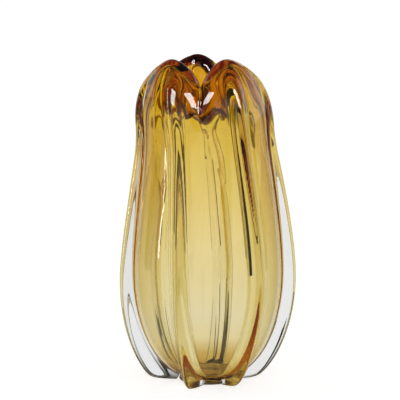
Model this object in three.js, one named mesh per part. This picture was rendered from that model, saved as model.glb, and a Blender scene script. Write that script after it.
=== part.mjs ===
// Ribbed glass vase. An amber blown vessel, its mouth pinched into three lobes and its neck folded down inside to a
// scalloped collar, carries six clear glass ribs. Each rib starts in a foot on the table, climbs the side and widens
// above the shoulder, so that the six together case the crown. A clear pad under the vessel is ground flat to stand
// on, with a dish where the pontil rod was broken off.
// Millimetres, +Z up, origin on the table under the axis. The front is -Y, and azimuths count from it towards +X.
import * as THREE from "three";

// Overall sizes: the height over the crown, and the belly of the amber vessel
const vaseHeight = 296;
const bellyRadius = 66.7;
const bellyHeight = 98;

// Ribs: how far the crest stands off the vessel and the half width of the root, from the foot to the mouth. Every rib
// was drawn out by hand, so each has its own azimuths at the foot, the belly and the crown, and its own depths at the
// foot, the belly and the shoulder.
const ribDepth = { crown: 1.2, mouth: 0.8 };
const ribHalfWidth = { foot: 9, belly: 10.5, shoulder: 10, crown: 10, mouth: 10 };
const ribEdge = 0.8;
const ribRoundness = 2;
const ribs = [
  { name: "rib_front_left", azimuths: [-20, -23, -32], depths: [20, 14.5, 5] },
  { name: "rib_front_right", azimuths: [34, 40, 32], depths: [16, 12, 8] },
  { name: "rib_right", azimuths: [96, 96, 99], depths: [14.5, 14, 7.6] },
  { name: "rib_back", azimuths: [168, 168, 177], depths: [18, 12, 7.6] },
  { name: "rib_back_left", azimuths: [223, 223, 219], depths: [18, 14, 7.6] },
  { name: "rib_left", azimuths: [267, 267, 265], depths: [21, 14, 7.6] },
];

// Casing: the clear glass over the crown, thickest where it fills the notches and spans their sides
const lobeCasing = 4.8;
const notchCasing = 8.7;
const valleyPower = 3;

// Fused glass has no gap. The pieces are drawn this far apart to stay separate solids.
const seam = 0.3;

// Base pad
const padRadius = 26;
const padThickness = 5.5;
const padChamfer = 0.8;
const pontilRadius = 12;
const pontilDepth = 1.4;

// Amber vessel
const bellyWall = 2.4;
const wall = 4.4;
const floorThickness = 6;
const baseRadius = 23;
const shoulderHeight = 232;
const shoulderRadius = 54.5;
const bellyFlute = 1.6;
const shoulderFlute = 3;
const crownRadius = 26;
const notchAngles = [-6.1, 130.5, 243];
const notchDrop = 29;
const notchRadius = 20;
const notchFold = 9;
const mouthRadius = 17;
const mouthRidge = 2;
const collarWall = 5;
const collarDepth = 40;
const collarTongue = 3;
const collarFlare = 11;
const scallopCount = 10;
const scallopTurn = 3;
const scallopReach = 2;
const scallopDrop = 3;
const crownLean = 8;

// Places along the meridian, as an index into its stretches: the throat, the lip of the collar and the pocket behind
// it, where the ribs widen, meet, thin out and end, where the casing starts and is full, and where the six flutes of
// the body give way to the three lobes outside and inside
const throatIndex = 5;
const lipIndex = 6;
const pocketIndex = 7;
const ribSpreadIndex = 2.75;
const ribMeetIndex = 3.3;
const ribThinIndex = 3.9;
const ribEndIndex = 4.6;
const casingIndex = 2.9;
const casingFullIndex = 3.6;
const fluteOutsideIndex = 2.6;
const lobeOutsideIndex = 3.4;
const lobeInsideIndex = 7.3;
const fluteInsideIndex = 8;
const lobeRoundness = 1.5;
const foldRoundness = 1.5;
const fluteRoundness = 2.4;

// Sampling of the curved surfaces
const lobeSteps = 10;
const padSides = 48;
const stretchSteps = [1, 8, 6, 7, 5, 4, 5, 6, 5, 7, 1];

// What follows from the driving sizes
const amberCrownHeight = vaseHeight - lobeCasing - ribEdge - seam;
const amberFootHeight = padThickness + seam;
const floorHeight = amberFootHeight + floorThickness;

const amberGlass = new THREE.MeshStandardMaterial({ color: 0xd9a521, roughness: 0.05, metalness: 0 });
const clearGlass = new THREE.MeshStandardMaterial({ color: 0xe6e8e8, roughness: 0.05, metalness: 0 });

const at = (radius, height) => new THREE.Vector2(radius, height);
const mix = THREE.MathUtils.lerp;
const smooth = (value, from, to) => THREE.MathUtils.smoothstep((value - from) / (to - from), 0, 1);

// A curve from one point to another that leaves and arrives along the given handles
function sweep(from, fromHandle, toHandle, to) {
  return new THREE.CubicBezierCurve(from, from.clone().add(fromHandle), to.clone().add(toHandle), to);
}

// The vessel's meridian, from the middle of its underside, up the outside, over the crown, down the folded neck,
// up behind it and down the inside to the middle of the floor. Low down it differs between a rib and the flute beside
// it, and in the crown between a lobe and a notch. The handles set how full each sweep is.
function meridian({ flute, crestRadius, crestHeight, fold, throatRadius, flare, lipHeight }) {
  const bodyRise = bellyHeight - amberFootHeight;
  const upperRise = shoulderHeight - bellyHeight;
  const crownRise = crestHeight - shoulderHeight;
  const neckDrop = crestHeight - lipHeight;
  const underside = at(0, amberFootHeight);
  const heel = at(baseRadius, amberFootHeight);
  const belly = at(bellyRadius - flute * bellyFlute, bellyHeight);
  const shoulder = at(shoulderRadius - flute * shoulderFlute, shoulderHeight);
  const crest = at(crestRadius, crestHeight);
  const throat = at(throatRadius, crestHeight - neckDrop * 0.5);
  const lip = at(throatRadius + collarWall / 2 + flare, lipHeight);
  const pocket = at(crestRadius + wall * 0.6, crestHeight - fold);
  const innerShoulder = at(shoulder.x - wall, shoulderHeight - wall * 0.5);
  const innerBelly = at(belly.x - bellyWall, bellyHeight);
  const floorEdge = at(baseRadius, floorHeight);
  const crestSpan = shoulder.x - crestRadius;
  const neckRoom = pocket.x - throatRadius - collarWall;
  return [
    new THREE.LineCurve(underside, heel),
    sweep(heel, at(bodyRise * 0.24, bodyRise * 0.03), at(0, -bodyRise * 0.55), belly),
    sweep(belly, at(0, upperRise * 0.3), at(crestSpan * 0.08, -upperRise * 0.25), shoulder),
    sweep(shoulder, at(-crestSpan * 0.07, crownRise * 0.5), at(crestSpan * 0.46, 0), crest),
    sweep(crest, at((throatRadius - crestRadius) * 0.6, 0), at(0, neckDrop * 0.28), throat),
    sweep(throat, at(0, -neckDrop * 0.3), at(-(collarWall + flare) * 0.5, flare * 0.3), lip),
    sweep(lip, at(collarWall * 0.3, collarWall * 0.8), at(-neckRoom * 1.2, (lipHeight - pocket.y) * 0.45), pocket),
    sweep(pocket, at(crestSpan * 0.33, 0), at(0, (pocket.y - shoulderHeight) * 0.45), innerShoulder),
    sweep(innerShoulder, at(crestSpan * 0.08, -upperRise * 0.25), at(0, upperRise * 0.3), innerBelly),
    sweep(innerBelly, at(0, -bodyRise * 0.5), at(bodyRise * 0.24, bodyRise * 0.05), floorEdge),
    new THREE.LineCurve(floorEdge, at(0, floorHeight)),
  ];
}
const lobeMeridian = meridian({
  flute: 0,
  crestRadius: crownRadius,
  crestHeight: amberCrownHeight,
  fold: wall,
  throatRadius: mouthRadius,
  flare: collarFlare,
  lipHeight: amberCrownHeight - collarDepth,
});
const notchMeridian = meridian({
  flute: 1,
  crestRadius: notchRadius,
  crestHeight: amberCrownHeight - notchDrop,
  fold: notchFold,
  throatRadius: mouthRadius - mouthRidge,
  flare: collarFlare - mouthRidge,
  lipHeight: amberCrownHeight - collarDepth - collarTongue,
});

// A point on a meridian, where s counts stretches from the middle of the underside
function meridianPoint(curves, s) {
  const stretch = Math.min(Math.floor(s), curves.length - 1);
  return curves[stretch].getPoint(s - stretch);
}

// How far a height has come from the belly to the crown, from 0 to 1
function riseAt(height) {
  return THREE.MathUtils.clamp((height - bellyHeight) / (amberCrownHeight - bellyHeight), 0, 1);
}

// The azimuth of a rib at a height, in degrees, counting on past a full turn for indices past the last rib
function ribAzimuth(index, height) {
  const turns = Math.floor(index / ribs.length);
  const [foot, belly, crown] = ribs[index - turns * ribs.length].azimuths;
  const low = mix(foot, belly, smooth(height, 0, bellyHeight));
  return mix(low, crown, riseAt(height)) + 360 * turns;
}

// Half the angle from a rib to its neighbour on the side that across points to, in degrees
function halfSpacing(index, across, height) {
  const neighbour = index + (across < 0 ? -1 : 1);
  return Math.abs(ribAzimuth(neighbour, height) - ribAzimuth(index, height)) / 2;
}

// Cylindrical to Cartesian, with the crown leaning a little to the left as the blown original does
function place(radius, azimuth, height) {
  const angle = THREE.MathUtils.degToRad(azimuth);
  const lean = crownLean * riseAt(height) ** 3;
  return new THREE.Vector3(radius * Math.sin(angle) - lean, -radius * Math.cos(angle), height);
}

// The azimuth at a height, in degrees, of a place that lies across from a rib towards the flute beside it
function azimuthAt(index, across, height) {
  return ribAzimuth(index, height) + across * halfSpacing(index, across, height);
}

// How far a place is from the nearest notch of the crown, from 0 in a notch to 1 on the middle of a lobe
function lobeDome(index, across) {
  const azimuth = azimuthAt(index, across, amberCrownHeight);
  const turned = THREE.MathUtils.euclideanModulo(azimuth - notchAngles[0], 360);
  const starts = notchAngles.map((angle) => angle - notchAngles[0]);
  const lobe = starts.findLastIndex((start) => start <= turned);
  const width = (starts[lobe + 1] ?? 360) - starts[lobe];
  const share = (2 * (turned - starts[lobe])) / width - 1;
  return 1 - share * share;
}

// How far the collar stands out in a scallop, from 1 on a scallop's tip to -1 between two, and 0 away from the lip
function scallop(s, index, across) {
  const nearLip = smooth(s, throatIndex, lipIndex) * smooth(s, pocketIndex, lipIndex);
  const azimuth = THREE.MathUtils.degToRad(azimuthAt(index, across, amberCrownHeight) - scallopTurn);
  return nearLip * Math.cos(scallopCount * azimuth);
}

// A point of the vessel's skin. across runs from -1 to 1, from flute to flute, with the rib at 0.
function vesselPoint(s, index, across) {
  const flute = Math.max(0, 1 - across * across) ** fluteRoundness;
  const outside = s < throatIndex;
  const lobe = lobeDome(index, across) ** (outside ? lobeRoundness : foldRoundness);
  const blend = outside ? [fluteOutsideIndex, lobeOutsideIndex] : [fluteInsideIndex, lobeInsideIndex];
  const weight = mix(flute, lobe, smooth(s, ...blend));
  const p = meridianPoint(notchMeridian, s).lerp(meridianPoint(lobeMeridian, s), weight);
  p.addScaledVector(at(scallopReach, -scallopDrop), scallop(s, index, across));
  return place(p.x, azimuthAt(index, across, p.y), p.y);
}

// The outward direction of the vessel's skin, from two short steps along it
function vesselNormal(s, index, across) {
  const step = 0.004;
  const along = vesselPoint(s + step, index, across).sub(vesselPoint(s - step, index, across));
  const round = vesselPoint(s, index, across + step).sub(vesselPoint(s, index, across - step));
  return round.cross(along).normalize();
}

// Places across from flute to flute that crowd together towards both ends, where the notches turn steepest
const lobeColumns = Array.from({ length: lobeSteps + 1 }, (_, j) => -Math.cos((Math.PI * j) / lobeSteps));

// A closed surface through rings of points, each quad split along its shorter diagonal, shut at each end by a fan
// about a pole
function loft(rings, startPole, endPole) {
  const count = rings[0].length;
  const points = [startPole, ...rings.flat(), endPole];
  const last = points.length - 1;
  const faces = [];
  for (let j = 0; j < count; j++) {
    const next = (j + 1) % count;
    faces.push(0, 1 + next, 1 + j);
    for (let i = 0; i + 1 < rings.length; i++) {
      const [a, b] = [1 + i * count + j, 1 + i * count + next];
      const [c, d] = [b + count, a + count];
      const alongAC = points[a].distanceTo(points[c]) < points[b].distanceTo(points[d]);
      faces.push(...(alongAC ? [a, b, c, a, c, d] : [a, b, d, b, c, d]));
    }
    faces.push(last, last - count + j, last - count + next);
  }
  const geometry = new THREE.BufferGeometry().setFromPoints(points);
  geometry.setIndex(faces);
  geometry.computeVertexNormals();
  return geometry;
}

// Values of s along the meridian between two places, with each stretch cut into its own number of steps
function samples(from, to) {
  const list = [from];
  stretchSteps.forEach((steps, stretch) => {
    for (let i = 0; i < steps; i++) {
      const s = stretch + i / steps;
      if (s > from + 1e-6 && s < to - 1e-6) list.push(s);
    }
  });
  list.push(to);
  return list;
}

function makeVessel() {
  const columns = lobeColumns.slice(0, -1);
  const rings = samples(0, stretchSteps.length)
    .slice(1, -1)
    .map((s) => ribs.flatMap((_, index) => columns.map((across) => vesselPoint(s, index, across))));
  return loft(rings, place(0, 0, amberFootHeight), place(0, 0, floorHeight));
}

// A value given for the foot, belly, shoulder, crown and mouth, smooth between them along the meridian
function alongRib(values, s) {
  const knots = [values.foot, values.belly, values.shoulder, values.crown, values.mouth];
  const curve = new THREE.SplineCurve(knots.map((value, i) => at(i, value)));
  return curve.getPoint((s - 1) / (knots.length - 1)).y;
}

// The direction a rib stands off the vessel. Over the crown it keeps to the upright plane through the axis, so that
// neighbours meet without crossing.
function ribDirection(s, index, across) {
  const point = vesselPoint(s, index, across);
  const normal = vesselNormal(s, index, across);
  const angle = THREE.MathUtils.degToRad(azimuthAt(index, across, point.z));
  const sideways = new THREE.Vector3(Math.cos(angle), Math.sin(angle), 0);
  const share = smooth(s, casingIndex, lobeOutsideIndex);
  return normal.addScaledVector(sideways, -normal.dot(sideways) * share).normalize();
}

// A rib runs from beside the pad to the throat. Its root follows the vessel one seam away. Up to the shoulder it is a
// round-crested fin, and from there it widens until it meets its neighbours in the casing of the crown.
function makeRib(index) {
  const start = 1 + firstShare((share) => meridianPoint(lobeMeridian, 1 + share).x > padRadius + 2 * seam);
  const [foot, belly, shoulder] = ribs[index].depths;
  const depths = { foot, belly, shoulder, ...ribDepth };
  const rings = samples(start, ribEndIndex).map((s) => {
    const p = meridianPoint(lobeMeridian, s);
    const thinning = 1 - smooth(s, ribThinIndex, ribEndIndex);
    const depth = mix(ribEdge, alongRib(depths, s), thinning);
    const halfWidth = alongRib(ribHalfWidth, s);
    const spread = smooth(s, ribSpreadIndex, ribMeetIndex);
    const casing = smooth(s, casingIndex, casingFullIndex) * thinning;
    const valley = 1 - smooth(s, ribMeetIndex, casingFullIndex);
    const acrossAt = (column) => {
      const room = p.x * THREE.MathUtils.degToRad(halfSpacing(index, column, p.y));
      const edge = 1 - seam / room;
      return mix((column * halfWidth) / room, THREE.MathUtils.clamp(column, -edge, edge), spread);
    };
    const skin = (column, offset) => {
      const across = acrossAt(column);
      const point = vesselPoint(s, index, across).addScaledVector(ribDirection(s, index, across), offset);
      point.z = Math.max(point.z, 0);
      return point;
    };
    const crest = (column) => {
      const bump = mix(ribEdge, depth, (1 - column * column) ** ribRoundness);
      const dome = lobeDome(index, acrossAt(column));
      const full = mix(notchCasing, lobeCasing, dome) + notchDrop * (dome - dome ** lobeRoundness);
      return bump + full * casing * (1 - valley * Math.abs(column) ** valleyPower);
    };
    const root = lobeColumns.map((column) => skin(column, seam)).reverse();
    return [...lobeColumns.map((column) => skin(column, seam + crest(column))), ...root];
  });
  const middle = (ring) => ring.reduce((sum, p) => sum.add(p), new THREE.Vector3()).divideScalar(ring.length);
  return loft(rings, middle(rings[0]), middle(rings.at(-1)));
}

// The first share of a stretch, in fine steps, at which a test holds
function firstShare(test) {
  let share = 0;
  while (share < 1 && !test(share)) share += 0.005;
  return share;
}

function makePad() {
  const profile = new THREE.Path();
  profile.moveTo(0, pontilDepth);
  profile.quadraticCurveTo(pontilRadius * 0.7, pontilDepth, pontilRadius, 0);
  profile.lineTo(padRadius - padChamfer, 0);
  profile.lineTo(padRadius, padChamfer);
  profile.lineTo(padRadius, padThickness - padChamfer);
  profile.lineTo(padRadius - padChamfer, padThickness);
  profile.lineTo(0, padThickness);
  const lathe = new THREE.LatheGeometry(profile.getPoints(4), padSides);
  return lathe.rotateX(Math.PI / 2);
}

function node(name, geometry, material) {
  const mesh = new THREE.Mesh(geometry, material.clone());
  mesh.name = name;
  return mesh;
}

const vase = new THREE.Group();
vase.add(node("amber_vessel", makeVessel(), amberGlass));
vase.add(node("base_pad", makePad(), clearGlass));
ribs.forEach((rib, index) => vase.add(node(rib.name, makeRib(index), clearGlass)));

export default vase;
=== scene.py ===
import math

import bpy
import numpy as np
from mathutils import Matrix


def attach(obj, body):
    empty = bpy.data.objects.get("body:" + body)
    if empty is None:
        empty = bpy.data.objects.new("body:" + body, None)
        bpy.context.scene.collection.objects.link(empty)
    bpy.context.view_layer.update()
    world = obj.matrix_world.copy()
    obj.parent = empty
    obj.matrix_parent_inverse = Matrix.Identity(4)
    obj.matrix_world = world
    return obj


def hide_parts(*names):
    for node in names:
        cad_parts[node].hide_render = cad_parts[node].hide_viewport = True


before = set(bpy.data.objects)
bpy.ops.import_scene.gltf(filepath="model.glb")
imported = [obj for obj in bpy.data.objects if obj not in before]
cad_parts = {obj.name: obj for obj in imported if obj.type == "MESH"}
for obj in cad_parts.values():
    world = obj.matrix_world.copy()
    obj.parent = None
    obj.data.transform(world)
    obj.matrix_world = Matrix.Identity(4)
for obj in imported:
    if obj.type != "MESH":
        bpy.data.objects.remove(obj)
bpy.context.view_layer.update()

# The amber vessel: a bubble of amber soda-lime glass, blown thick, with its mouth pinched into three lobes
# and its neck folded down inside to a scalloped collar. It is coloured right through, so it is straw in
# the thin belly and red-brown where the eye looks along the wall, and a painted shade in its surface
# colour deepens that red-brown further. Sizes are in millimetres.
MM = 0.001
belly_height = 98
amber_foot_height = 5.8
floor_height = 8.3
base_radius = 23
belly_radius = 66.7
belly_flute = 1.6
shoulder_height = 232
shoulder_radius = 54.5
shoulder_flute = 3
crown_height = 290.1
crown_lean = 8
lean_power = 3.0
belly_wall = 2.4
shoulder_wall = 4.4
collar_wall = 5
lobe_crown = {"crest_radius": 26, "drop": 0, "fold": 4.4, "throat": 17, "collar": 40, "flare": 11}
notch_crown = {"crest_radius": 20, "drop": 29, "fold": 7, "throat": 15, "collar": 14, "flare": 9}
notch_angles = (-6.1, 130.5, 243)
lobe_power = 1.5
flute_power = 2.4
scallops = 10
scallop_turn = 3.0
scallop_out = 2.5
scallop_drop = 4.0
unevenness = 0.25
wave_length = 45
even_below = 20
uneven_above = 60

# The vessel's columns follow the ribs that lie on it: their azimuths in degrees from the front at the
# foot, the belly and the crown, and half their width at the foot, the belly, the shoulder, the crown and
# the mouth.
rib_angles = {
    "rib_front_left": (-20, -23, -32),
    "rib_front_right": (34, 40, 32),
    "rib_right": (96, 96, 99),
    "rib_back": (168, 168, 177),
    "rib_back_left": (223, 223, 219),
    "rib_left": (267, 267, 265),
}
rib_half_width = (9, 10.5, 10, 16, 16)
pad_radius = 26.6
rib_columns = 32
panel_columns = 10
least_room = 1

# Places along the profile, counted in stretches from the middle of the underside: the foot of the side,
# the throat, the collar's lip and the shoulder inside, where the flutes give way to the lobes, how far the
# scallops reach from the lip, where the ribs spread until they all but meet, and where they end.
side_place = 1
throat_place = 5
lip_place = 6
inner_shoulder_place = 8
lobes_outside = (2.6, 3.4)
lobes_inside = (8, 7.3)
scallop_reach = 0.8
rib_spread = (2.35, 2.95)
rib_reach = 0.996
rib_reach_inside = 0.5
rib_end = 4.6
start_steps = 4000
stretch_rows = (5, 44, 36, 36, 22, 14, 22, 28, 34, 40, 5)


def srgb(code):
    """Linear colour of an sRGB hex value."""
    parts = [int(code[i : i + 2], 16) / 255 for i in (1, 3, 5)]
    return (*[p / 12.92 if p <= 0.04045 else ((p + 0.055) / 1.055) ** 2.4 for p in parts], 1.0)


def node(tree, kind, inputs=(), **settings):
    """A new node with its settings, its values and its links."""
    made = tree.nodes.new(kind)
    for name, value in settings.items():
        setattr(made, name, value)
    for key, value in dict(inputs).items():
        if isinstance(value, bpy.types.NodeSocket):
            tree.links.new(value, made.inputs[key])
        else:
            made.inputs[key].default_value = value
    return made


def smooth(value, start, end):
    """A soft step from 0 at the start to 1 at the end."""
    share = np.clip((value - start) / (end - start), 0, 1)
    return share * share * (3 - 2 * share)


def meridian(flute, crest_radius, drop, fold, throat, collar, flare):
    """The vessel's profile through a lobe or a notch, as eleven cubic stretches of radius and height:
    underside, lower side, upper side, crown, throat, collar, then back up behind the collar and down the
    inside to the floor. Each leaves its start and comes in to its end by shares of its own rise and span."""
    body_rise = belly_height - amber_foot_height
    upper_rise = shoulder_height - belly_height
    crest_height = crown_height - drop
    crown_rise = crest_height - shoulder_height
    throat_height = crest_height - collar * 0.5
    lip_height = crest_height - collar
    pocket_height = crest_height - fold
    belly = belly_radius - flute * belly_flute
    shoulder = shoulder_radius - flute * shoulder_flute
    span = shoulder - crest_radius
    lip = throat + collar_wall / 2 + flare
    pocket = crest_radius + shoulder_wall * 0.6
    neck_side = pocket - throat - collar_wall
    inner_shoulder = (shoulder - shoulder_wall, shoulder_height - shoulder_wall * 0.5)
    inner_belly = (belly - belly_wall, belly_height)

    def sweep(start, leave, arrive, end):
        start, end = np.array(start, float), np.array(end, float)
        return [start, start + leave, end + arrive, end]

    def line(start, end):
        step = (np.array(end, float) - start) / 3
        return sweep(start, step, -step, end)

    return np.array([
        line((0, amber_foot_height), (base_radius, amber_foot_height)),
        sweep((base_radius, amber_foot_height), (body_rise * 0.24, body_rise * 0.03),
              (0, -body_rise * 0.55), (belly, belly_height)),
        sweep((belly, belly_height), (0, upper_rise * 0.3),
              (span * 0.08, -upper_rise * 0.25), (shoulder, shoulder_height)),
        sweep((shoulder, shoulder_height), (-span * 0.07, crown_rise * 0.5),
              (span * 0.46, 0), (crest_radius, crest_height)),
        sweep((crest_radius, crest_height), ((throat - crest_radius) * 0.6, 0),
              (0, collar * 0.28), (throat, throat_height)),
        sweep((throat, throat_height), (0, -collar * 0.3),
              (-collar_wall * 0.5 - flare * 0.5, flare * 0.3), (lip, lip_height)),
        sweep((lip, lip_height), (collar_wall * 0.3, collar_wall * 0.8),
              (-neck_side * 1.2, (lip_height - pocket_height) * 0.45), (pocket, pocket_height)),
        sweep((pocket, pocket_height), (span * 0.33, 0),
              (0, (pocket_height - shoulder_height) * 0.45), inner_shoulder),
        sweep(inner_shoulder, (span * 0.08, -upper_rise * 0.25),
              (0, upper_rise * 0.3), inner_belly),
        sweep(inner_belly, (0, -body_rise * 0.53),
              (body_rise * 0.25, body_rise * 0.025), (base_radius, floor_height)),
        line((base_radius, floor_height), (0, floor_height)),
    ])


def along(curves, place):
    """Radius and height at a place that counts stretches from the middle of the underside."""
    place = np.asarray(place, float)
    stretch = np.minimum(place.astype(int), len(curves) - 1)
    share = (place - stretch)[..., None]
    points = curves[stretch]
    return (
        points[..., 0, :] * (1 - share) ** 3
        + points[..., 1, :] * 3 * share * (1 - share) ** 2
        + points[..., 2, :] * 3 * share * share * (1 - share)
        + points[..., 3, :] * share**3
    )


def along_rib(knots, place):
    """A value given at the foot, belly, shoulder, crown and mouth, smooth between them."""
    last = len(knots) - 1
    travel = np.clip(np.asarray(place, float) - side_place, 0, last)
    step = np.minimum(travel.astype(int), last - 1)
    share = travel - step
    padded = np.array([knots[0], *knots, knots[-1]], float)
    before, start, end, after = (padded[step + k] for k in range(4))
    leave, arrive = (end - before) / 2, (after - start) / 2
    cubic = 2 * start - 2 * end + leave + arrive
    square = 3 * end - 3 * start - 2 * leave - arrive
    return cubic * share**3 + square * share * share + leave * share + start


lobe_curves = meridian(0, **lobe_crown)
notch_curves = meridian(1, **notch_crown)
side = np.linspace(side_place, side_place + 1, start_steps + 1)
rib_start = float(side[np.argmax(along(lobe_curves, side)[:, 0] > pad_radius)])
rows = {stretch + step / count for stretch, count in enumerate(stretch_rows) for step in range(count)}
rows = np.array(sorted(rows - {0.0} | {rib_start, rib_end}))

# Columns run round the vase rib by rib. The middle ones of each lie under the rib and end exactly on its
# edges, and the rest share out the bare panel on either side.
under = np.linspace(-1, 1, rib_columns + 1)
beside = np.sin(np.linspace(0, np.pi / 2, panel_columns + 1))
angles = np.array(list(rib_angles.values()), float)
ahead = np.vstack([angles[1:], angles[:1] + 360])
behind = np.vstack([angles[-1:] - 360, angles[:-1]])
lobe_profile = along(lobe_curves, rows)
notch_profile = along(notch_curves, rows)
settle = smooth(lobe_profile[:, 1], 0, belly_height)
rise = np.clip((lobe_profile[:, 1] - belly_height) / (crown_height - belly_height), 0, 1)
wide = smooth(rows, *rib_spread)
inside = smooth(rows, throat_place, inner_shoulder_place)
half_width = along_rib(rib_half_width, np.clip(rows, rib_start, rib_end))
across, fin_share, turn_foot, turn_belly, turn_crown = [], [], [], [], []
for own, before, after in zip(angles, behind, ahead):
    edge, fin_edge = [], []
    for other in (before, after):
        spacing = np.radians(abs(other - own)) / 2
        room = spacing[0] + (spacing[1] - spacing[0]) * settle + (spacing[2] - spacing[1]) * rise
        width = half_width / np.maximum(lobe_profile[:, 0] * room, least_room)
        spread = (width * (1 - wide) + rib_reach * wide) * (1 - inside) + rib_reach_inside * inside
        edge.append(np.where(rows < rib_start, spread[np.argmax(rows >= rib_start)], spread)[:, None])
        fin_edge.append(width[:, None])
    left, right = edge
    own_across = np.hstack([
        -(left + (1 - left) * beside[:0:-1]),
        np.where(under < 0, left, right) * under,
        right + (1 - right) * beside[1:-1],
    ])
    for k, turn in enumerate((turn_foot, turn_belly, turn_crown)):
        half = np.where(own_across < 0, own[k] - before[k], after[k] - own[k]) / 2
        turn.append(np.radians(own[k] + own_across * half))
    across.append(own_across)
    fin_share.append(np.abs(own_across) / np.where(own_across < 0, *fin_edge))
across, fin_share = np.hstack(across), np.hstack(fin_share)
turn_foot, turn_belly, turn_crown = (np.hstack(turn) for turn in (turn_foot, turn_belly, turn_crown))
row_count, column_count = across.shape
columns_per_rib = column_count // len(rib_angles)

# The mouth is pinched in three places, so the crown has three lobes, each over two ribs.
notches = np.radians(np.array([*notch_angles, notch_angles[0] + 360]))
around = np.mod(turn_crown - notches[0], 2 * np.pi) + notches[0]
which = np.clip(np.searchsorted(notches, around, "right") - 1, 0, len(notch_angles) - 1)
lobe_share = 2 * (around - notches[which]) / (notches[which + 1] - notches[which]) - 1
lobe_dome = np.clip(1 - lobe_share**2, 0, 1)
flute_dome = np.clip(1 - across**2, 0, 1) ** flute_power
pinched = np.where(rows < throat_place, smooth(rows, *lobes_outside), smooth(rows, *lobes_inside))[:, None]
dome = flute_dome * (1 - pinched) + lobe_dome**lobe_power * pinched
near_lip = smooth(rows, lip_place - scallop_reach, lip_place)
near_lip = near_lip * (1 - smooth(rows, lip_place, lip_place + scallop_reach))
scallop = near_lip[:, None] * np.cos(scallops * (turn_crown - math.radians(scallop_turn)))


def grid_faces(rows, columns, first=0):
    """Quads of a grid of points whose columns run round."""
    row = first + np.arange(rows - 1)[:, None] * columns
    here = row + np.arange(columns)
    onward = row + (np.arange(columns) + 1) % columns
    return np.stack([here, onward, onward + columns, here + columns], -1).reshape(-1, 4)


def closed_faces(rows):
    """Faces of a round body of rings with a point at either end."""
    ring = np.arange(column_count)
    onward = (ring + 1) % column_count
    top = 1 + (rows - 1) * column_count
    return [
        *np.stack([np.zeros_like(ring), 1 + onward, 1 + ring], -1),
        *grid_faces(rows, column_count, 1),
        *np.stack([np.full_like(ring, top + column_count), top + ring, top + onward], -1),
    ]


def new_piece(name, points, faces, attributes=()):
    """A mesh object from points in metres, with its named attributes."""
    mesh = bpy.data.meshes.new(name)
    mesh.from_pydata(points, [], [list(map(int, face)) for face in faces])
    for (key, kind, domain), values in dict(attributes).items():
        layer = mesh.attributes.new(key, kind, domain)
        field = "vector" if kind == "FLOAT_VECTOR" else "value"
        layer.data.foreach_set(field, np.ravel(values).astype(np.float32))
    piece = bpy.data.objects.new(name, mesh)
    bpy.context.collection.objects.link(piece)
    return piece


def form(piece, tree, sizes, leave):
    """Runs a piece through a geometry tree with its named sizes, and keeps the result as its plain mesh
    without the attributes that only the tree needs."""
    modifier = piece.modifiers.new("form", "NODES")
    modifier.node_group = tree
    for item in tree.interface.items_tree:
        if item.item_type == "SOCKET" and item.in_out == "INPUT" and item.name in sizes:
            modifier[item.identifier] = sizes[item.name]
    graph = bpy.context.evaluated_depsgraph_get()
    mesh = bpy.data.meshes.new_from_object(piece.evaluated_get(graph), depsgraph=graph)
    piece.modifiers.clear()
    old, piece.data = piece.data, mesh
    bpy.data.meshes.remove(old)
    mesh.name = piece.name
    for key in leave:
        mesh.attributes.remove(mesh.attributes[key])


# Amber soda-lime glass, fire-polished: it bends light like any glass and swallows blue, then green. Where
# another piece is fused to it the light meets no surface, so the index there is that of no surface at all.
# Faint cords run up it.
glass_index = 1.5
no_surface_index = 1.0
amber_through = "#f4e000"
amber_density = 170.0
cord_width = 14
cord_squeeze = 0.18
cord_detail = 1.5
cord_rise = 0.4
amber_cord_strength = 0.1
tint_top = 290
painted_shade_facing = (0.2, 0.8)

# Its tints from the foot to the crown, where it is looked straight through and where it is looked along.
# The glancing tints are a painted shade: darker and redder where the wall is seen edge-on.
# Painted shade: the lowest stops of both ramps darken the glass towards the foot, standing in for the shaded
# table seen through the base.
straight_tints_and_foot_shade = (
    (0.0, "#ccb060"), (0.05, "#d8c078"), (0.1, "#fff6dc"), (0.17, "#ffffff"), (0.45, "#fffbee"),
    (0.69, "#fffadc"), (0.81, "#fff6c8"), (0.88, "#fff298"), (1.0, "#ffe478"),
)
glancing_shade_tints = (
    (0.0, "#d8c078"), (0.05, "#e0cc88"), (0.1, "#e8deb4"), (0.17, "#e4deba"), (0.45, "#d8cc8c"),
    (0.69, "#d6b864"), (0.81, "#dcaa4c"), (0.88, "#dc9e3a"), (1.0, "#cc842e"),
)
amber_glass = bpy.data.materials.new("fire-polished amber soda-lime glass")
amber_glass.use_nodes = True
tree = amber_glass.node_tree
tree.nodes.clear()
place = node(tree, "ShaderNodeTexCoord").outputs["Object"]
height = node(tree, "ShaderNodeSeparateXYZ", {0: place}).outputs["Z"]
share = node(tree, "ShaderNodeMapRange", {0: height, 1: 0.0, 2: tint_top * MM, 3: 0.0, 4: 1.0}).outputs[0]
tints_and_painted_shades = []
for stops in (straight_tints_and_foot_shade, glancing_shade_tints):
    ramp = node(tree, "ShaderNodeValToRGB", {0: share})
    marks = ramp.color_ramp.elements
    for position, code in stops:
        mark = marks.new(position) if 0 < position < 1 else marks[0 if position == 0 else -1]
        mark.color = srgb(code)
    tints_and_painted_shades.append(ramp.outputs[0])
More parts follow.
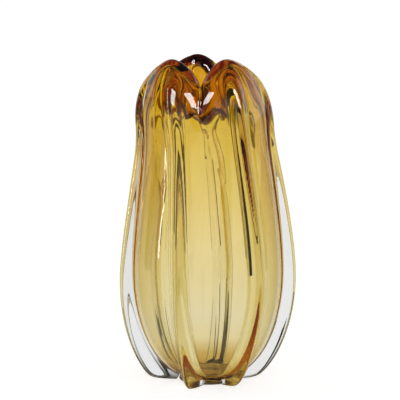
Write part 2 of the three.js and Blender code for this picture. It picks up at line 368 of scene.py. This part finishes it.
# Painted shade: where the surface is seen edge-on, the tint turns to the darker, redder glancing tints.
facing = node(tree, "ShaderNodeLayerWeight", {"Blend": 0.5}).outputs["Facing"]
painted_shade_share = node(
    tree, "ShaderNodeMapRange", {0: facing, 1: painted_shade_facing[0], 2: painted_shade_facing[1]}, interpolation_type="SMOOTHSTEP"
).outputs[0]
tint_with_painted_shade = node(tree, "ShaderNodeMix", {0: painted_shade_share, 6: tints_and_painted_shades[0], 7: tints_and_painted_shades[1]}, data_type="RGBA").outputs[2]
fused = node(tree, "ShaderNodeAttribute", attribute_name="fused").outputs["Fac"]
index = node(
    tree,
    "ShaderNodeMath",
    {0: fused, 1: no_surface_index - glass_index, 2: glass_index},
    operation="MULTIPLY_ADD",
).outputs[0]
stretched = node(tree, "ShaderNodeMapping", {0: place, 3: (1, 1, cord_squeeze)}).outputs[0]
cords = node(
    tree,
    "ShaderNodeTexNoise",
    {"Vector": stretched, "Scale": 1 / (cord_width * MM), "Detail": cord_detail},
).outputs[0]
bump = node(
    tree, "ShaderNodeBump", {"Strength": amber_cord_strength, "Distance": cord_rise * MM, "Height": cords}
).outputs[0]
shader = node(
    tree,
    "ShaderNodeBsdfPrincipled",
    {"Base Color": tint_with_painted_shade, "Roughness": 0.0, "IOR": index, "Transmission Weight": 1.0, "Normal": bump},
)
volume = node(
    tree, "ShaderNodeVolumeAbsorption", {"Color": srgb(amber_through), "Density": amber_density}
)
node(tree, "ShaderNodeOutputMaterial", {"Surface": shader.outputs[0], "Volume": volume.outputs[0]})

# The tree that shapes the vessel blends the notch's profile into the lobe's across each dome, bends the
# crown over to one side as the maker left it, and adds the slight unevenness of blown glass.
blow_sizes = {
    "Belly height": belly_height * MM,
    "Crown height": crown_height * MM,
    "Crown lean": crown_lean * MM,
    "Lean power": lean_power,
    "Unevenness": unevenness * MM,
    "Wave scale": 1 / (wave_length * MM),
    "Even below": even_below * MM,
    "Uneven above": uneven_above * MM,
}
blow_fields = {"lobe": "FLOAT_VECTOR", "notch": "FLOAT_VECTOR", "turn": "FLOAT_VECTOR", "dome": "FLOAT"}
blow = bpy.data.node_groups.new("blow the lobed vessel", "GeometryNodeTree")
blow.interface.new_socket("Geometry", in_out="INPUT", socket_type="NodeSocketGeometry")
for name in blow_sizes:
    blow.interface.new_socket(name, in_out="INPUT", socket_type="NodeSocketFloat")
blow.interface.new_socket("Geometry", in_out="OUTPUT", socket_type="NodeSocketGeometry")
given = node(blow, "NodeGroupInput").outputs
read = {}
for name, kind in blow_fields.items():
    read[name] = node(blow, "GeometryNodeInputNamedAttribute", {"Name": name}, data_type=kind).outputs[0]
profile = node(
    blow, "ShaderNodeMix", {0: read["dome"], 4: read["notch"], 5: read["lobe"]}, data_type="VECTOR"
).outputs[1]
parts = node(blow, "ShaderNodeSeparateXYZ", {0: profile}).outputs
climb = node(
    blow, "ShaderNodeMapRange", {0: parts[2], 1: given["Belly height"], 2: given["Crown height"]}
).outputs[0]
turns = node(blow, "ShaderNodeSeparateXYZ", {0: read["turn"]}).outputs
settled = node(
    blow,
    "ShaderNodeMapRange",
    {0: parts[2], 1: 0.0, 2: given["Belly height"]},
    interpolation_type="SMOOTHSTEP",
).outputs[0]
turn = node(blow, "ShaderNodeMix", {0: settled, 2: turns[0], 3: turns[1]}).outputs[0]
turn = node(blow, "ShaderNodeMix", {0: climb, 2: turn, 3: turns[2]}).outputs[0]
sine = node(blow, "ShaderNodeMath", {0: turn}, operation="SINE").outputs[0]
cosine = node(blow, "ShaderNodeMath", {0: turn}, operation="COSINE").outputs[0]
bend = node(blow, "ShaderNodeMath", {0: climb, 1: given["Lean power"]}, operation="POWER").outputs[0]
lean = node(blow, "ShaderNodeMath", {0: bend, 1: given["Crown lean"]}, operation="MULTIPLY").outputs[0]
out_x = node(blow, "ShaderNodeMath", {0: parts[0], 1: sine}, operation="MULTIPLY").outputs[0]
out_y = node(blow, "ShaderNodeMath", {0: parts[0], 1: cosine}, operation="MULTIPLY").outputs[0]
left_x = node(blow, "ShaderNodeMath", {0: out_x, 1: lean}, operation="SUBTRACT").outputs[0]
front_y = node(blow, "ShaderNodeMath", {0: out_y, 1: -1.0}, operation="MULTIPLY").outputs[0]
spot = node(blow, "ShaderNodeCombineXYZ", {0: left_x, 1: front_y, 2: parts[2]}).outputs[0]
waves = node(
    blow, "ShaderNodeTexNoise", {"Vector": spot, "Scale": given["Wave scale"], "Detail": 1.0}
).outputs["Color"]
centred = node(
    blow, "ShaderNodeVectorMath", {0: waves, 1: (0.5, 0.5, 0.5)}, operation="SUBTRACT"
).outputs[0]
level = node(blow, "ShaderNodeVectorMath", {0: centred, 1: (1, 1, 0)}, operation="MULTIPLY").outputs[0]
above = node(
    blow, "ShaderNodeMapRange", {0: parts[2], 1: given["Even below"], 2: given["Uneven above"]}
).outputs[0]
amount = node(blow, "ShaderNodeMath", {0: above, 1: given["Unevenness"]}, operation="MULTIPLY").outputs[0]
wander = node(blow, "ShaderNodeVectorMath", {0: level, "Scale": amount}, operation="SCALE").outputs[0]
moved = node(
    blow, "GeometryNodeSetPosition", {"Geometry": given["Geometry"], "Position": spot, "Offset": wander}
).outputs[0]
soft = node(blow, "GeometryNodeSetShadeSmooth", {"Geometry": moved}).outputs[0]
real = node(blow, "GeometryNodeRealizeInstances", {"Geometry": soft}).outputs[0]
painted = node(blow, "GeometryNodeSetMaterial", {"Geometry": real, "Material": amber_glass}).outputs[0]
node(blow, "NodeGroupOutput", {0: painted})


def with_poles(values, start, end):
    """A field over the grid, with the values of the points that close it below and inside."""
    return np.concatenate([[start], values.reshape(-1, *values.shape[2:]), [end]])


def profile_field(profile):
    """A profile laid out over the grid in metres, with the scallops of the collar."""
    flat = np.zeros((row_count, column_count, 3))
    flat[..., 0] = (profile[:, None, 0] + scallop * scallop_out) * MM
    flat[..., 2] = (profile[:, None, 1] - scallop * scallop_drop) * MM
    return with_poles(flat, (0, 0, amber_foot_height * MM), (0, 0, floor_height * MM))


# The vessel is fused to the pad below it, to the ribs and, where they have met, to the whole casing.
start_row = int(np.argmin(abs(rows - rib_start)))
met_row = int(np.argmax(rows >= rib_spread[1]))
end_row = int(np.argmin(abs(rows - rib_end)))
in_rib = np.arange(column_count) % columns_per_rib - panel_columns
under_rib = (in_rib >= 0) & (in_rib < rib_columns)
face_rows = np.arange(row_count - 1)[:, None]
covered = (face_rows < start_row) | (face_rows < end_row) & (under_rib | (face_rows >= met_row))
vessel = new_piece(
    "amber_vessel_glass",
    np.zeros((row_count * column_count + 2, 3)),
    closed_faces(row_count),
    {
        ("lobe", "FLOAT_VECTOR", "POINT"): profile_field(lobe_profile),
        ("notch", "FLOAT_VECTOR", "POINT"): profile_field(notch_profile),
        ("turn", "FLOAT_VECTOR", "POINT"): with_poles(
            np.stack([turn_foot, turn_belly, turn_crown], -1), (0, 0, 0), (0, 0, 0)
        ),
        ("dome", "FLOAT", "POINT"): with_poles(dome, 1.0, 1.0),
        ("fused", "FLOAT", "FACE"): np.concatenate(
            [np.ones(column_count), covered.ravel(), np.zeros(column_count)]
        ),
    },
)
form(vessel, blow, blow_sizes, blow_fields)
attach(vessel, "root")
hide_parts("amber_vessel")

# The six clear ribs: bars of clear soda-lime glass laid hot on the amber bubble and drawn out. Each stands
# on the table in a foot and climbs the side as a fin, and above the shoulder they melt together into a
# casing over the crown.
rib_roundness = 2.0
web_roundness = 2.2
casing_lobe = 4.9
casing_notch = 9.5
notch_rounding = 0.85
toe_rounding = 9.0
edge_height = 0.02
contact = 0.04

# Their depths at the foot, the belly, the shoulder, the crown and the mouth
rib_depth = {
    "rib_front_left": (18.5, 12.5, 4, 0, 0),
    "rib_front_right": (14, 10, 8, 0, 0),
    "rib_right": (14.5, 14, 7, 1.2, 0),
    "rib_back": (18, 12, 7, 1.2, 0),
    "rib_back_left": (18, 14, 7, 1.2, 0),
    "rib_left": (21, 14, 7, 1.2, 0),
}

# Places along the profile where the fin turns into a web, where the casing grows, where it fills the
# valleys between the ribs, where the ribs stop leaning sideways, and how far before their end they thin.
web_grows = (2.45, 2.9)
casing_grows = (2.75, 3.6)
valley_fills = (2.9, 3.75)
upright_grows = (2.9, 3.4)
rib_fade = 0.7

# Clear soda-lime glass, drawn: it shows only by how it bends the light, with faint cords along the draw,
# and it is matt where the feet were ground.
clear_tint = "#fdfefe"
clear_through = "#f0f4f4"
clear_density = 6.0
drawn_cord_width = 11
drawn_cord_squeeze = 0.12
drawn_cord_strength = 0.08
ground_edge = (0.2, 0.6)
ground_roughness = 0.35
clear_glass = bpy.data.materials.new("drawn clear soda-lime glass")
clear_glass.use_nodes = True
tree = clear_glass.node_tree
tree.nodes.clear()
place = node(tree, "ShaderNodeTexCoord").outputs["Object"]
fused = node(tree, "ShaderNodeAttribute", attribute_name="fused").outputs["Fac"]
index = node(
    tree,
    "ShaderNodeMath",
    {0: fused, 1: no_surface_index - glass_index, 2: glass_index},
    operation="MULTIPLY_ADD",
).outputs[0]
stretched = node(tree, "ShaderNodeMapping", {0: place, 3: (1, 1, drawn_cord_squeeze)}).outputs[0]
cords = node(
    tree,
    "ShaderNodeTexNoise",
    {"Vector": stretched, "Scale": 1 / (drawn_cord_width * MM), "Detail": cord_detail},
).outputs[0]
bump = node(
    tree, "ShaderNodeBump", {"Strength": drawn_cord_strength, "Distance": cord_rise * MM, "Height": cords}
).outputs[0]
height = node(tree, "ShaderNodeSeparateXYZ", {0: place}).outputs["Z"]
ground = node(
    tree,
    "ShaderNodeMapRange",
    {0: height, 1: ground_edge[0] * MM, 2: ground_edge[1] * MM, 3: ground_roughness, 4: 0.0},
).outputs[0]
shader = node(
    tree,
    "ShaderNodeBsdfPrincipled",
    {
        "Base Color": srgb(clear_tint),
        "Roughness": ground,
        "IOR": index,
        "Transmission Weight": 1.0,
        "Normal": bump,
    },
)
volume = node(
    tree, "ShaderNodeVolumeAbsorption", {"Color": srgb(clear_through), "Density": clear_density}
)
node(tree, "ShaderNodeOutputMaterial", {"Surface": shader.outputs[0], "Volume": volume.outputs[0]})

# The tree that draws a rib lifts its crest off the vessel by the rib's depth and its casing, and rounds
# the toe where it comes down on the table.
draw_sizes = {"Contact": contact * MM, "Table height": 0.0, "Toe rounding": toe_rounding * MM}
draw_fields = {
    "outward": "FLOAT_VECTOR", "depth": "FLOAT", "crest": "FLOAT", "roundness": "FLOAT", "casing": "FLOAT"
}
draw = bpy.data.node_groups.new("draw a rib along the vessel", "GeometryNodeTree")
draw.interface.new_socket("Geometry", in_out="INPUT", socket_type="NodeSocketGeometry")
for name in draw_sizes:
    draw.interface.new_socket(name, in_out="INPUT", socket_type="NodeSocketFloat")
draw.interface.new_socket("Geometry", in_out="OUTPUT", socket_type="NodeSocketGeometry")
given = node(draw, "NodeGroupInput").outputs
read = {}
for name, kind in draw_fields.items():
    read[name] = node(draw, "GeometryNodeInputNamedAttribute", {"Name": name}, data_type=kind).outputs[0]
bulge = node(draw, "ShaderNodeMath", {0: read["crest"], 1: read["roundness"]}, operation="POWER").outputs[0]
stand = node(
    draw, "ShaderNodeMath", {0: read["depth"], 1: bulge, 2: given["Contact"]}, operation="MULTIPLY_ADD"
).outputs[0]
stand = node(draw, "ShaderNodeMath", {0: stand, 1: read["casing"]}, operation="ADD").outputs[0]
offset = node(
    draw, "ShaderNodeVectorMath", {0: read["outward"], "Scale": stand}, operation="SCALE"
).outputs[0]
spot = node(draw, "GeometryNodeInputPosition").outputs[0]
lifted = node(draw, "ShaderNodeVectorMath", {0: spot, 1: offset}, operation="ADD").outputs[0]
parts = node(draw, "ShaderNodeSeparateXYZ", {0: lifted}).outputs
rounding = node(
    draw, "ShaderNodeMath", {0: read["crest"], 1: given["Toe rounding"]}, operation="MULTIPLY"
).outputs[0]
standing = node(
    draw, "ShaderNodeMath", {0: parts[2], 1: given["Table height"], 2: rounding}, operation="SMOOTH_MAX"
).outputs[0]
placed = node(draw, "ShaderNodeCombineXYZ", {0: parts[0], 1: parts[1], 2: standing}).outputs[0]
moved = node(
    draw, "GeometryNodeSetPosition", {"Geometry": given["Geometry"], "Position": placed}
).outputs[0]
soft = node(draw, "GeometryNodeSetShadeSmooth", {"Geometry": moved}).outputs[0]
real = node(draw, "GeometryNodeRealizeInstances", {"Geometry": soft}).outputs[0]
painted = node(draw, "GeometryNodeSetMaterial", {"Geometry": real, "Material": clear_glass}).outputs[0]
node(draw, "NodeGroupOutput", {0: painted})


def vectors(items, key):
    """The vectors that Blender keeps for a mesh's vertices."""
    values = np.empty(len(items) * 3, np.float32)
    items.foreach_get(key, values)
    return values.reshape(-1, 3).astype(float)


# The ribs lie on the vessel's own points and stand along its normals. Above the shoulder the sideways part
# of the normals fades, so that neighbours in a notch don't run into each other.
grid_points = vectors(vessel.data.vertices, "co")[1:-1].reshape(row_count, column_count, 3)
grid_facing = vectors(vessel.data.vertex_normals, "vector")[1:-1].reshape(row_count, column_count, 3)
sideways = np.stack([np.cos(turn_crown), np.sin(turn_crown), np.zeros_like(turn_crown)], -1)
sideways_part = (grid_facing * sideways).sum(-1) * smooth(rows, *upright_grows)[:, None]
grid_outward = grid_facing - sideways_part[..., None] * sideways
grid_outward /= np.linalg.norm(grid_outward, axis=-1, keepdims=True)
rib_rows = np.arange(start_row, end_row + 1)
rib_places = rows[rib_rows]
ends = (1 - smooth(rib_places, rib_end - rib_fade, rib_end))[:, None]
grows = smooth(rib_places, *casing_grows)[:, None] * ends
fills = smooth(rib_places, *valley_fills)[:, None]
roundness = (rib_roundness + (web_roundness - rib_roundness) * smooth(rib_places, *web_grows))[:, None]
web = np.clip(1 - under**2, 0, 1) ** web_roundness

# Each row of a rib runs over its crest and back along its root. The root, the two ends and, where the ribs
# have met, the sides are fused.
over = np.arange(rib_columns + 1)
order = np.concatenate([over, over[::-1]])
is_crest = np.concatenate([np.ones(len(over)), np.zeros(len(over))])
rib_row_count, loop_count = len(rib_rows), len(order)
caps = []
for row in (0, rib_row_count - 1):
    for k in range(rib_columns):
        corners = [row * loop_count + v for v in (k, k + 1, loop_count - k - 2, loop_count - k - 1)]
        caps.append(corners if row else [corners[0], *corners[:0:-1]])
met = (rib_rows[:-1] >= met_row)[:, None]
loop = np.arange(loop_count)
loop_fused = np.where((loop == rib_columns) | (loop == loop_count - 1), met, loop > rib_columns)
columns_under = [k * columns_per_rib + panel_columns + over for k in range(len(rib_angles))]
outer_skin = grid_points.copy()
ribs, feet = [], []
for name, columns in zip(rib_angles, columns_under):
    picked = np.ix_(rib_rows, columns)
    depth = along_rib(rib_depth[name], rib_places)[:, None] * ends * MM
    crest = np.clip(1 - fin_share[picked] ** 2, 0, 1)
    own_dome = lobe_dome[picked]
    bridged = notch_crown["drop"] * (own_dome**notch_rounding - own_dome**lobe_power)
    casing = (casing_lobe + (casing_notch - casing_lobe) * (1 - own_dome) + bridged) * grows
    casing = casing * (web + (1 - web) * fills) * MM + edge_height * MM
    rib = new_piece(
        name + "_glass",
        grid_points[picked][:, order].reshape(-1, 3),
        [*grid_faces(rib_row_count, loop_count), *caps],
        {
            ("outward", "FLOAT_VECTOR", "POINT"): grid_outward[picked][:, order],
            ("depth", "FLOAT", "POINT"): np.repeat(depth, loop_count, 1),
            ("crest", "FLOAT", "POINT"): crest[:, order] * is_crest,
            ("casing", "FLOAT", "POINT"): casing[:, order] * is_crest,
            ("roundness", "FLOAT", "POINT"): np.repeat(roundness, loop_count, 1),
            ("fused", "FLOAT", "FACE"): np.concatenate([loop_fused.ravel(), np.ones(len(caps))]),
        },
    )
    form(rib, draw, draw_sizes, draw_fields)
    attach(rib, "root")
    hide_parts(name)
    crest_points = vectors(rib.data.vertices, "co").reshape(rib_row_count, loop_count, 3)[:, over]
    outer_skin[picked] = crest_points
    feet.append(crest_points[0])
    ribs.append(rib)

# The outside is one skin, panels and ribs alike, so its smooth normals are taken across all the pieces.
# Where the ribs have met, the skin bridges the sliver between them.
least_length = 1e-12
cased = slice(met_row, end_row + 1)
gaps = [(columns[-1] + np.arange(2 * panel_columns + 1)) % column_count for columns in columns_under]
for gap in gaps:
    blend = np.linspace(0, 1, len(gap))[None, :, None]
    low, high = outer_skin[cased, gap[:1]], outer_skin[cased, gap[-1:]]
    outer_skin[cased, gap] = low + (high - low) * blend
step_round = np.roll(outer_skin, -1, 1) - np.roll(outer_skin, 1, 1)
step_along = np.gradient(outer_skin, axis=0)
skin_normal = np.cross(step_round, step_along)
skin_normal /= np.maximum(np.linalg.norm(skin_normal, axis=-1, keepdims=True), least_length)
for gap in gaps:
    middle = skin_normal[cased, gap[0]] + skin_normal[cased, gap[-1]]
    middle /= np.linalg.norm(middle, axis=-1, keepdims=True)
    skin_normal[cased, gap] = middle[:, None]
for rib, columns in zip(ribs, columns_under):
    own = np.zeros((rib_row_count, loop_count, 3))
    own[:, over] = skin_normal[np.ix_(rib_rows, columns)]
    rib.data.normals_split_custom_set_from_vertices(own.reshape(-1, 3))
own = np.zeros((row_count, column_count, 3))
own[start_row + 1 : end_row] = skin_normal[start_row + 1 : end_row]
vessel.data.normals_split_custom_set_from_vertices(with_poles(own, (0, 0, 0), (0, 0, 0)))

# The base pad: a disc of clear glass fused under the vessel between the feet, ground flat, with the dish
# that was polished into it where the pontil rod was broken off. Its rim is bare between the feet.
pontil_radius = 12
pontil_depth = 1.4
pontil_rings = 12
pontil_power = 1.5
pad_chamfer = 0.8
rim_gap = 0.001

pad_top = grid_points[: start_row + 1] - np.array([0, 0, contact * MM])
rim = pad_top[-1]
rim_low = rim.copy()
rim_low[:, 2] = pad_chamfer * MM
rim_foot = rim_low.copy()
rim_foot[:, :2] *= 1 - pad_chamfer / pad_radius
rim_foot[:, 2] = 0
rim_mid = rim - np.array([0, 0, rim_gap * MM])
for foot, columns in zip(feet, columns_under):
    rim_mid[columns, 2] = np.clip(foot[:, 2], rim_low[columns, 2], rim_mid[columns, 2])
around = np.arctan2(rim[:, 0], -rim[:, 1])
dish = []
for share in np.arange(1, pontil_rings + 1) / pontil_rings:
    radius = pontil_radius * share * MM
    hollow = np.full(column_count, pontil_depth * MM * (1 - share**2) ** pontil_power)
    dish.append(np.stack([radius * np.sin(around), -radius * np.cos(around), hollow], -1))
rings = np.array([*dish, rim_foot, rim_low, rim_mid, *pad_top[::-1]])
rim_row = pontil_rings + 2
ring_fused = np.zeros((len(rings) - 1, column_count))
ring_fused[rim_row] = under_rib
ring_fused[rim_row + 1 :] = 1
dish_middle = (0, 0, pontil_depth * MM)
top_middle = (0, 0, (amber_foot_height - contact) * MM)
pad = new_piece(
    "base_pad_glass",
    with_poles(rings, dish_middle, top_middle),
    closed_faces(len(rings)),
    {
        ("fused", "FLOAT", "FACE"): np.concatenate(
            [np.zeros(column_count), ring_fused.ravel(), np.ones(column_count)]
        ),
    },
)
pad.data.materials.append(clear_glass)
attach(pad, "root")
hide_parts("base_pad")

# The table: a plain sweep of matt white paper. The camera sees it white, less the vase's own shadow, and
# the glass sees it a little dimmer. Sizes on the stage are in metres.
sweep_size = 14.0
sweep_drop = 0.0003
seen_white = 0.74
seen_through_glass = 0.47
seen_mirrored = 0.1
white_sweep = bpy.data.materials.new("matt white paper sweep")
white_sweep.use_nodes = True
tree = white_sweep.node_tree
tree.nodes.clear()
path = node(tree, "ShaderNodeLightPath").outputs
strength = 0.0
for kind, level in (
    ("Is Camera Ray", seen_white),
    ("Is Transmission Ray", seen_through_glass),
    ("Is Glossy Ray", seen_mirrored),
):
    strength = node(
        tree, "ShaderNodeMath", {0: path[kind], 1: level, 2: strength}, operation="MULTIPLY_ADD"
    ).outputs[0]
paper = node(tree, "ShaderNodeBsdfDiffuse", {"Color": srgb("#dcdcdc")}).outputs[0]
glow = node(tree, "ShaderNodeEmission", {"Color": srgb("#ffffff"), "Strength": strength}).outputs[0]
both = node(tree, "ShaderNodeAddShader", {0: paper, 1: glow}).outputs[0]
node(tree, "ShaderNodeOutputMaterial", {"Surface": both})
half = sweep_size / 2
corners = [(x * half, y * half, -sweep_drop) for x, y in ((-1, -1), (1, -1), (1, 1), (-1, 1))]
table = new_piece("white_sweep", np.array(corners), [range(4)])
table.data.materials.append(white_sweep)

# Cards of matt black board stand round the table out of the camera's sight, narrower behind the vase. The
# glass alone sees them, and they draw the dark lines along its edges.
card_distance = 0.8
card_height = 0.6
card_widths = (0.2, 0.2, 0.1, 0.1, 0.1, 0.2, 0.2, 0.2)
black_card = bpy.data.materials.new("matt black card")
black_card.use_nodes = True
tree = black_card.node_tree
tree.nodes.clear()
matt = node(tree, "ShaderNodeBsdfDiffuse", {"Color": srgb("#1c1a18")}).outputs[0]
node(tree, "ShaderNodeOutputMaterial", {"Surface": matt})
corners, faces = [], []
for k, card_width in enumerate(card_widths):
    turn = 2 * math.pi * (k + 0.5) / len(card_widths)
    middle = np.array([math.sin(turn), -math.cos(turn), 0]) * card_distance
    edge = np.array([math.cos(turn), math.sin(turn), 0]) * card_width / 2
    for side, level in ((-1, 0), (1, 0), (1, 1), (-1, 1)):
        corners.append(middle + edge * side + np.array([0, 0, level * card_height]))
    faces.append(range(4 * k, 4 * k + 4))
cards = new_piece("black_cards", np.array(corners), faces)
cards.data.materials.append(black_card)
cards.visible_camera = False
cards.visible_diffuse = False
cards.visible_shadow = False

# Soft studio light: a white room to the eye, and to the glass up to head height, under a dim ceiling. Two
# softboxes high in front are mirrored on the crown, and a strip light on the left draws a line down the
# front left rib.
room_light = 0.85
ceiling_light = 0.08
ceiling_rise = (0.15, 0.45)
fill_light = 0.4
white_light = 1.0
scene = bpy.context.scene
world = bpy.data.worlds.new("white studio")
scene.world = world
world.use_nodes = True
tree = world.node_tree
tree.nodes.clear()
path = node(tree, "ShaderNodeLightPath").outputs
direction = node(tree, "ShaderNodeTexCoord").outputs["Generated"]
up = node(tree, "ShaderNodeSeparateXYZ", {0: direction}).outputs["Z"]
room = node(
    tree,
    "ShaderNodeMapRange",
    {0: up, 1: ceiling_rise[0], 2: ceiling_rise[1], 3: room_light, 4: ceiling_light},
).outputs[0]
even = node(tree, "ShaderNodeMix", {0: path["Is Diffuse Ray"], 2: room, 3: fill_light}).outputs[0]
plain = node(tree, "ShaderNodeMix", {0: path["Is Camera Ray"], 2: even, 3: white_light}).outputs[0]
light = node(tree, "ShaderNodeBackground", {"Color": srgb("#ffffff"), "Strength": plain}).outputs[0]
node(tree, "ShaderNodeOutputWorld", {"Surface": light})


def aimed(spot, target):
    """The turn of a lamp or a camera at a spot that looks at a target."""
    x, y, z = np.array(target) - np.array(spot)
    return math.atan2(math.hypot(x, y), -z), 0, math.atan2(y, x) - math.pi / 2


for name, spot, aim_height, width, length, power in (
    ("softbox left", (-0.9, -0.9, 1.1), 0.2, 0.8, 0.8, 30.0),
    ("softbox right", (0.9, -0.8, 1.1), 0.2, 0.8, 0.8, 30.0),
    ("strip light", (-1.3, 0.045, 0.5), 0.5, 0.05, 1.0, 2.2),
):
    lamp = bpy.data.lights.new(name, "AREA")
    lamp.shape = "RECTANGLE"
    lamp.size = width
    lamp.size_y = length
    lamp.energy = power
    holder = bpy.data.objects.new(name, lamp)
    holder.location = spot
    holder.rotation_euler = aimed(spot, (0, 0, aim_height))
    holder.visible_camera = False
    holder.visible_diffuse = False
    holder.visible_transmission = False
    bpy.context.collection.objects.link(holder)

# The camera stands 2 m away at the photograph's height and looks a little down on the vase. Light is
# caught for long in the ribs' feet, so its paths have many bounces.
eye = (0.0, -2.0, 0.48)
target = (-0.0074, 0.0, 0.1656)
sensor_width = 36
focal_length = 200.9
light_bounces = 96
passed_surfaces = 32
lens = bpy.data.cameras.new("camera")
lens.sensor_width = sensor_width
lens.lens = focal_length
camera = bpy.data.objects.new("camera", lens)
camera.location = eye
camera.rotation_euler = aimed(eye, target)
bpy.context.collection.objects.link(camera)
scene.camera = camera
scene.view_settings.view_transform = "Standard"
scene.cycles.max_bounces = light_bounces
scene.cycles.transmission_bounces = light_bounces
scene.cycles.glossy_bounces = light_bounces
scene.cycles.transparent_max_bounces = passed_surfaces
